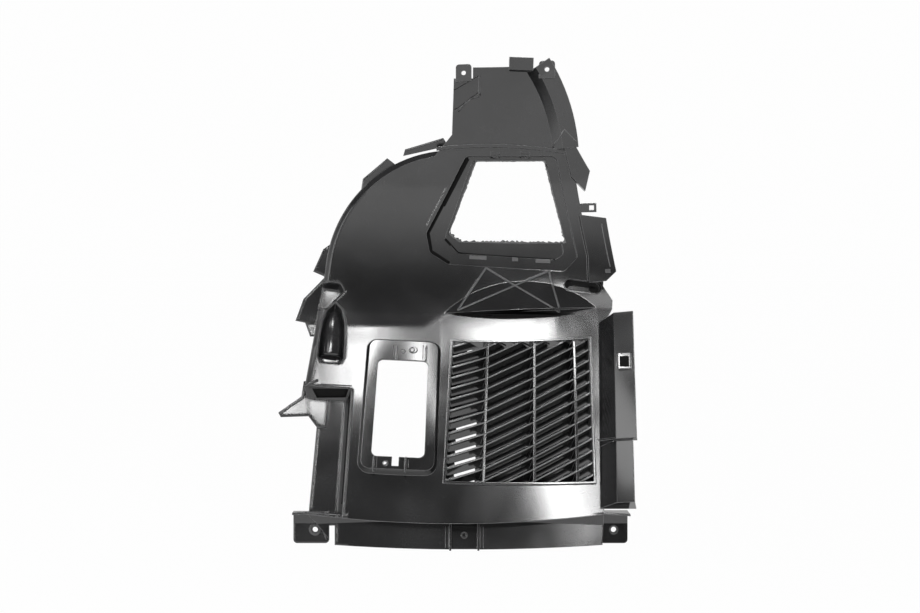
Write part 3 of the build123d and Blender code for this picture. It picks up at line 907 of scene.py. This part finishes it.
def paleMaterial():  # white where camera, glossy or transmission rays see it, with the object's shadow kept
    mat = bpy.data.materials.new("paleBackdrop")
    mat.use_nodes = True
    tree = mat.node_tree
    shader = tree.nodes["Principled BSDF"]
    setInputs(shader, Base_Color=stageLook["colour"], Roughness=stageLook["roughness"])
    glow = addNode(tree, "ShaderNodeEmission", (0, -300))
    setInputs(glow, Strength=stageLook["white"])
    path = addNode(tree, "ShaderNodeLightPath", (-900, 300)).outputs
    seen = mathNode(tree, "MAXIMUM", (-600, 300), path["Is Camera Ray"], path["Is Glossy Ray"])
    seen = mathNode(tree, "MAXIMUM", (-400, 300), seen, path["Is Transmission Ray"])
    mix = addNode(tree, "ShaderNodeMixShader", (350, 100))
    link = tree.links.new
    link(mathNode(tree, "MULTIPLY", (-200, 300), seen, stageLook["whiteShare"]), mix.inputs[0])
    link(shader.outputs[0], mix.inputs[1])
    link(glow.outputs[0], mix.inputs[2])
    link(mix.outputs[0], tree.nodes["Material Output"].inputs["Surface"])
    return mat


def addBackdrop():  # floor that sweeps up into a wall behind the object
    look = stageLook
    low, half, r = cadBox[0].z - look["floorDrop"], look["half"], look["cove"]
    section = [(-half, low)]
    for i in range(look["coveSteps"] + 1):
        turn = math.pi / 2 * i / look["coveSteps"]
        section.append((look["backY"] - r + r * math.sin(turn), low + r - r * math.cos(turn)))
    section.append((look["backY"], look["backTop"]))
    mesh = bpy.data.meshes.new("backdrop")
    verts = [(x, y, z) for y, z in section for x in (-half, half)]
    faces = [(2 * i, 2 * i + 1, 2 * i + 3, 2 * i + 2) for i in range(len(section) - 1)]
    mesh.from_pydata(verts, [], faces)
    mesh.materials.append(paleMaterial())
    backdrop = bpy.data.objects.new("backdrop", mesh)
    scene.collection.objects.link(backdrop)


lampSettings = [  # name, place, aim, turn in degrees, size, radiance
    ("leftStrip", (-0.213, -0.908, 1.50), (-0.213, -0.908, 0.0), -15.0, (0.06, 0.92), 33.0),
    ("rightStrip", (0.053, -0.60, 1.50), (0.053, -0.60, 0.0), 9.1, (0.04, 0.28), 24.0),
    ("hookStrip", (0.15, -0.77, 1.50), (0.15, -0.77, 0.0), 0, (0.05, 0.09), 22.0),
    ("leftSoft", (-0.46, -0.75, 1.50), (-0.46, -0.75, 0.0), 0, (0.24, 0.60), 2.6),
    ("sideSoft", (-1.30, -0.20, 0.90), (-0.20, 0.10, 0.30), 0, (0.70, 0.70), 2.0),
]


def addLamps():
    for name, spot, aim, turn, size, radiance in lampSettings:
        data = bpy.data.lights.new(name, "AREA")
        data.shape = "RECTANGLE"
        data.size, data.size_y = size
        data.energy = radiance * math.pi * size[0] * size[1]
        lamp = bpy.data.objects.new(name, data)
        lamp.location = spot
        facing = (Vector(aim) - Vector(spot)).to_track_quat("-Z", "Y")
        lamp.rotation_euler = (facing @ Quaternion((0, 0, 1), math.radians(turn))).to_euler()
        scene.collection.objects.link(lamp)


skyLook = {"colour": (1, 1, 1, 1), "low": 1.15, "high": 0.14, "from": 0.0, "to": 0.62}


def addWorld():  # pale near the ground and darker overhead
    world = bpy.data.worlds.new("studio")
    scene.world = world
    world.use_nodes = True
    tree = world.node_tree
    back = tree.nodes["Background"]
    setInputs(back, Color=skyLook["colour"])
    coord = addNode(tree, "ShaderNodeTexCoord", (-900, 0))
    axes = addNode(tree, "ShaderNodeSeparateXYZ", (-700, 0))
    fade = addNode(tree, "ShaderNodeMapRange", (-500, 0), interpolation_type="SMOOTHSTEP")
    setInputs(fade, From_Min=skyLook["from"], From_Max=skyLook["to"])
    setInputs(fade, To_Min=skyLook["low"], To_Max=skyLook["high"])
    tree.links.new(coord.outputs["Generated"], axes.inputs[0])
    tree.links.new(axes.outputs["Z"], fade.inputs["Value"])
    tree.links.new(fade.outputs[0], back.inputs["Strength"])


cameraSettings = {"place": (-0.0056, -1.151, 0.287), "lens": 35.0, "sensor": 36.0, "near": 0.01}


def addCamera():  # level, looking along +Y
    data = bpy.data.cameras.new("photoCamera")
    data.lens = cameraSettings["lens"]
    data.sensor_width = cameraSettings["sensor"]
    data.clip_start = cameraSettings["near"]
    camera = bpy.data.objects.new("photoCamera", data)
    camera.location = cameraSettings["place"]
    camera.rotation_euler = (math.pi / 2, 0, 0)
    scene.collection.objects.link(camera)
    scene.camera = camera


addBackdrop()
addLamps()
addWorld()
addCamera()
scene.view_settings.view_transform = "Standard"
print("stage, light and camera set")
